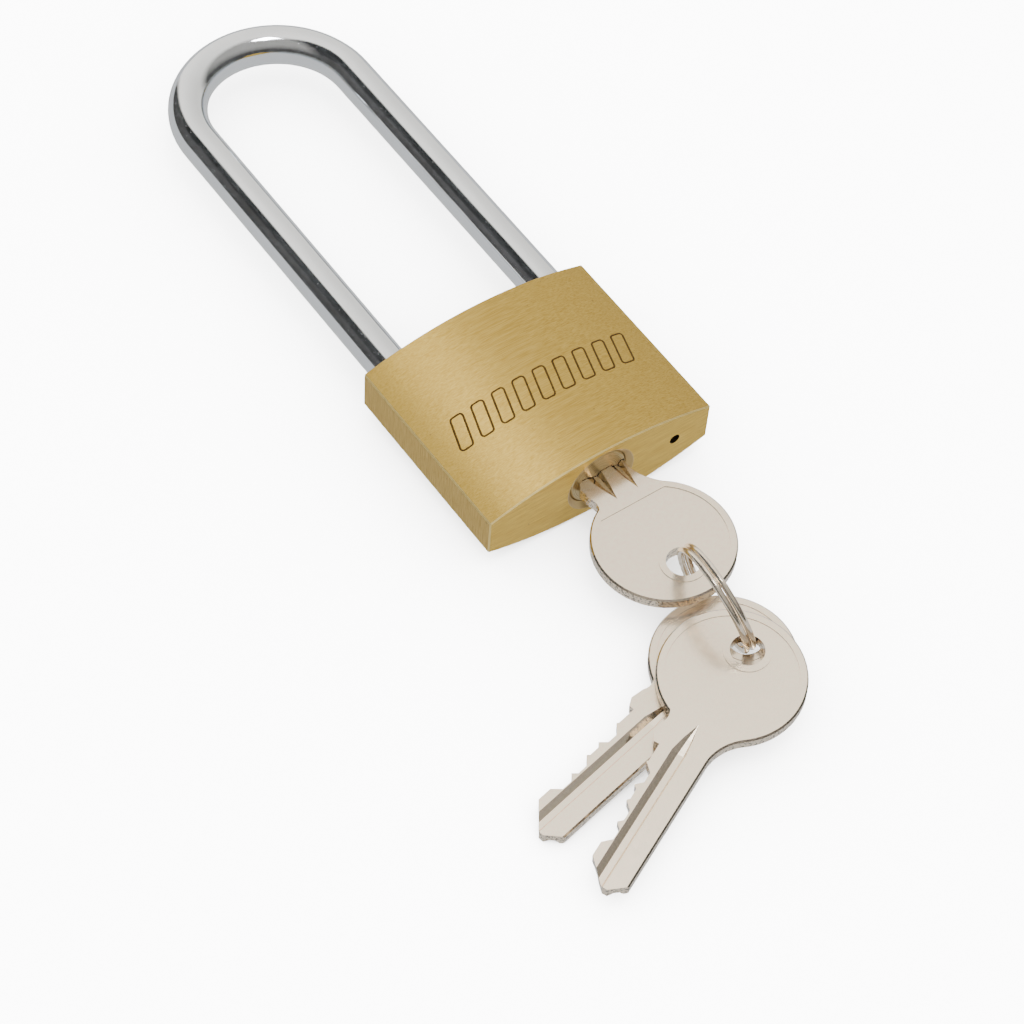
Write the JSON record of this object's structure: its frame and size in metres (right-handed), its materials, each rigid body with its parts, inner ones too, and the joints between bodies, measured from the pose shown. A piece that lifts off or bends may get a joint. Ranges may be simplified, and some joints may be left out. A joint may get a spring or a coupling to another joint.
{
  "type": "padlock",
  "caption": "Long-shackle pin tumbler padlock with a curved brass body, plated steel shackle, and flat keys on a split ring, one of them in the plug.",
  "frame": {"origin": "on the plug's axis at the body's bottom face, where the key enters", "axes": "+X across the body towards the shackle's heel leg, +Y along the shackle towards its bow, +Z out of the front face; the lock lies on its back"},
  "size_m": [0.0602, 0.162, 0.0177],
  "materials": {
    "satin_brass": "finely brushed, satin",
    "plated_steel": "bright plated hardened steel",
    "brass_plug": "turned brass",
    "zinc_cam": "die-cast, dull",
    "inner_steel": "turned steel",
    "spring_steel": "drawn wire",
    "nickel_key": "satin nickel plate",
    "nickel_ring": "bright nickel plate"
  },
  "bodies": {
    "case": {"lock_body": "satin_brass", "plug_retaining_pin": "inner_steel", "heel_stop_pin": "satin_brass", "driver_pin_1": "brass_plug", "driver_pin_2": "brass_plug", "driver_pin_3": "brass_plug", "driver_pin_4": "brass_plug", "driver_pin_5": "brass_plug", "pin_spring_1": "spring_steel", "pin_spring_2": "spring_steel", "pin_spring_3": "spring_steel", "pin_spring_4": "spring_steel", "pin_spring_5": "spring_steel", "chamber_cap_1": "satin_brass", "chamber_cap_2": "satin_brass", "chamber_cap_3": "satin_brass", "chamber_cap_4": "satin_brass", "chamber_cap_5": "satin_brass", "chamber_cap_6": "satin_brass", "latch_spring": "spring_steel", "shackle_spring": "spring_steel"},
    "cylinder": {"plug": "brass_plug", "plug_cam": "zinc_cam", "key_pin_1": "brass_plug", "key_pin_2": "brass_plug", "key_pin_3": "brass_plug", "key_pin_4": "brass_plug", "key_pin_5": "brass_plug"},
    "shackle": {"shackle": "plated_steel"},
    "toe_latch": {"toe_latch": "inner_steel"},
    "heel_latch": {"heel_latch": "inner_steel"},
    "key_1": {"key_1": "nickel_key"},
    "ring": {"split_ring": "nickel_ring"},
    "key_2": {"key_2": "nickel_key"},
    "key_3": {"key_3": "nickel_key"}
  },
  "joints": [
    {"name": "key_turn", "type": "hinge", "parent": "case", "child": "cylinder", "pos_m": [0, 0.012, 0], "axis": [0, 1, 0], "range_deg": [0, 90]},
    {"name": "shackle_lift", "type": "slide", "parent": "case", "child": "shackle", "axis": [0, 1, 0], "range_m": [0, 0.0108], "deforming": ["shackle_spring"]},
    {"name": "toe_latch_slide", "type": "slide", "parent": "case", "child": "toe_latch", "axis": [1, 0, 0], "range_m": [0, 0.003], "deforming": ["latch_spring"]},
    {"name": "heel_latch_slide", "type": "slide", "parent": "case", "child": "heel_latch", "axis": [-1, 0, 0], "range_m": [0, 0.003]},
    {"name": "key_pull", "type": "slide", "parent": "cylinder", "child": "key_1", "axis": [0, -1, 0], "range_m": [0, 0.0265], "deforming": ["key_pin_1", "key_pin_2", "key_pin_3", "key_pin_4", "key_pin_5"]},
    {"name": "ring_swing", "type": "hinge", "parent": "key_1", "child": "ring", "pos_m": [0.0008, -0.019, 0], "axis": [0, 0, 1], "range_deg": [-20, 45]},
    {"name": "key_2_swing", "type": "hinge", "parent": "ring", "child": "key_2", "pos_m": [-0.00025, -0.03575, -0.00095], "axis": [-0.0586, -0.0267, 0.9979], "range_deg": [-10, 45]},
    {"name": "key_3_swing", "type": "hinge", "parent": "ring", "child": "key_3", "pos_m": [0.0017, -0.0332, -0.00305], "axis": [-0.0633, -0.0114, 0.9979], "range_deg": [-15, 15]}
  ],
  "couplings": [
    {"joint": "shackle_lift", "follows": "key_turn", "m_per_rad": 0.0068755},
    {"joint": "toe_latch_slide", "follows": "key_turn", "m_per_rad": 0.0019099},
    {"joint": "heel_latch_slide", "follows": "key_turn", "m_per_rad": 0.0019099}
  ]
}
